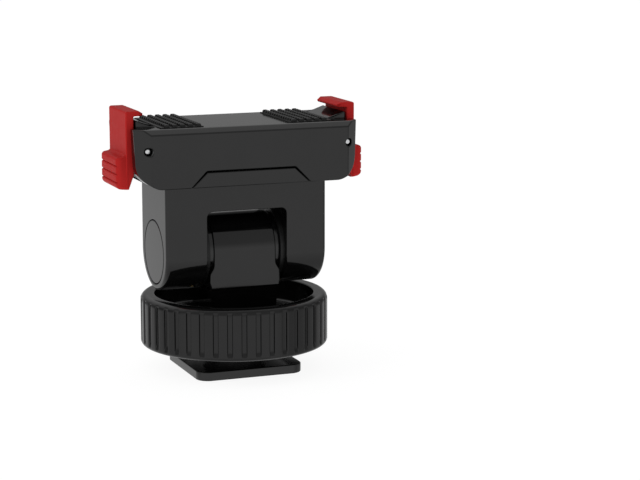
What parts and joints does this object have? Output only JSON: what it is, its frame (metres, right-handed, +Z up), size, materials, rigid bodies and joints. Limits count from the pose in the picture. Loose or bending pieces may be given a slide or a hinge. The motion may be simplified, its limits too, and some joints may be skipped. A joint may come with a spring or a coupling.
{
  "type": "accessory shoe tilt mount",
  "caption": "Accessory-shoe tilt mount: a square foot with a ribbed lock wheel, a tilting fork hinge, and a clamp deck with sprung end levers and studded grip pads.",
  "frame": {"origin": "centre of the shoe foot's underside", "axes": "+X along the tilt axis and the deck's length, +Y to the back, along the shoe foot's direction of travel, +Z up"},
  "size_m": [0.043, 0.0316, 0.0449],
  "materials": {
    "black_body": "satin-gloss moulded black",
    "black_wheel": "satin moulded black, ribbed",
    "black_metal": "black coated steel",
    "pad_rubber": "matt moulded studs",
    "red_lever": "satin red",
    "steel": "plain bright steel",
    "brass": "turned",
    "magnet_plating": "nickel plated"
  },
  "bodies": {
    "base": {"foot_plate": "black_metal", "stem": "black_metal", "foot_screw": "steel", "dowel_pins": "steel", "knuckle": "black_body", "spacer_washers": "black_metal"},
    "clamp": {"clamp_washer": "black_metal", "clamp_pad": "pad_rubber"},
    "wheel": {"lock_wheel": "black_wheel", "wheel_insert": "brass"},
    "head": {"fork": "black_body", "friction_washers": "pad_rubber", "hinge_bolt": "steel", "spring_washer": "steel", "hinge_nut": "steel", "hinge_cap": "black_body", "deck_shell": "black_body", "deck_cover": "black_body", "deck_screws": "steel", "keeper_plate": "steel", "magnets": "magnet_plating", "grip_pads": "pad_rubber", "lever_pins": "steel", "spring_left": "steel", "spring_right": "steel"},
    "left_lever": {"lever_left": "red_lever"},
    "right_lever": {"lever_right": "red_lever"}
  },
  "joints": [
    {"name": "wheel_travel", "type": "slide", "parent": "base", "child": "clamp", "axis": [0, 0, 1], "range_m": [-0.00112, 0.00038]},
    {"name": "wheel_turn", "type": "hinge", "parent": "clamp", "child": "wheel", "pos_m": [0, 0, 0.0083], "axis": [0, 0, 1], "range_deg": [-270, 90]},
    {"name": "tilt", "type": "hinge", "parent": "base", "child": "head", "pos_m": [0, 0, 0.02066], "axis": [1, 0, 0], "range_deg": [-78, 78]},
    {"name": "left_press", "type": "hinge", "parent": "head", "child": "left_lever", "pos_m": [-0.0173, 0, 0.03868], "axis": [0, -1, 0], "range_deg": [0, 14], "stiffness_Nm_per_rad": 0.001, "springref_deg": -8.59, "deforming": ["spring_left"]},
    {"name": "right_press", "type": "hinge", "parent": "head", "child": "right_lever", "pos_m": [0.0173, 0, 0.03868], "axis": [0, 1, 0], "range_deg": [0, 14], "stiffness_Nm_per_rad": 0.001, "springref_deg": -8.59, "deforming": ["spring_right"]}
  ],
  "couplings": [
    {"joint": "wheel_turn", "follows": "wheel_travel", "rad_per_m": 4188.8}
  ]
}
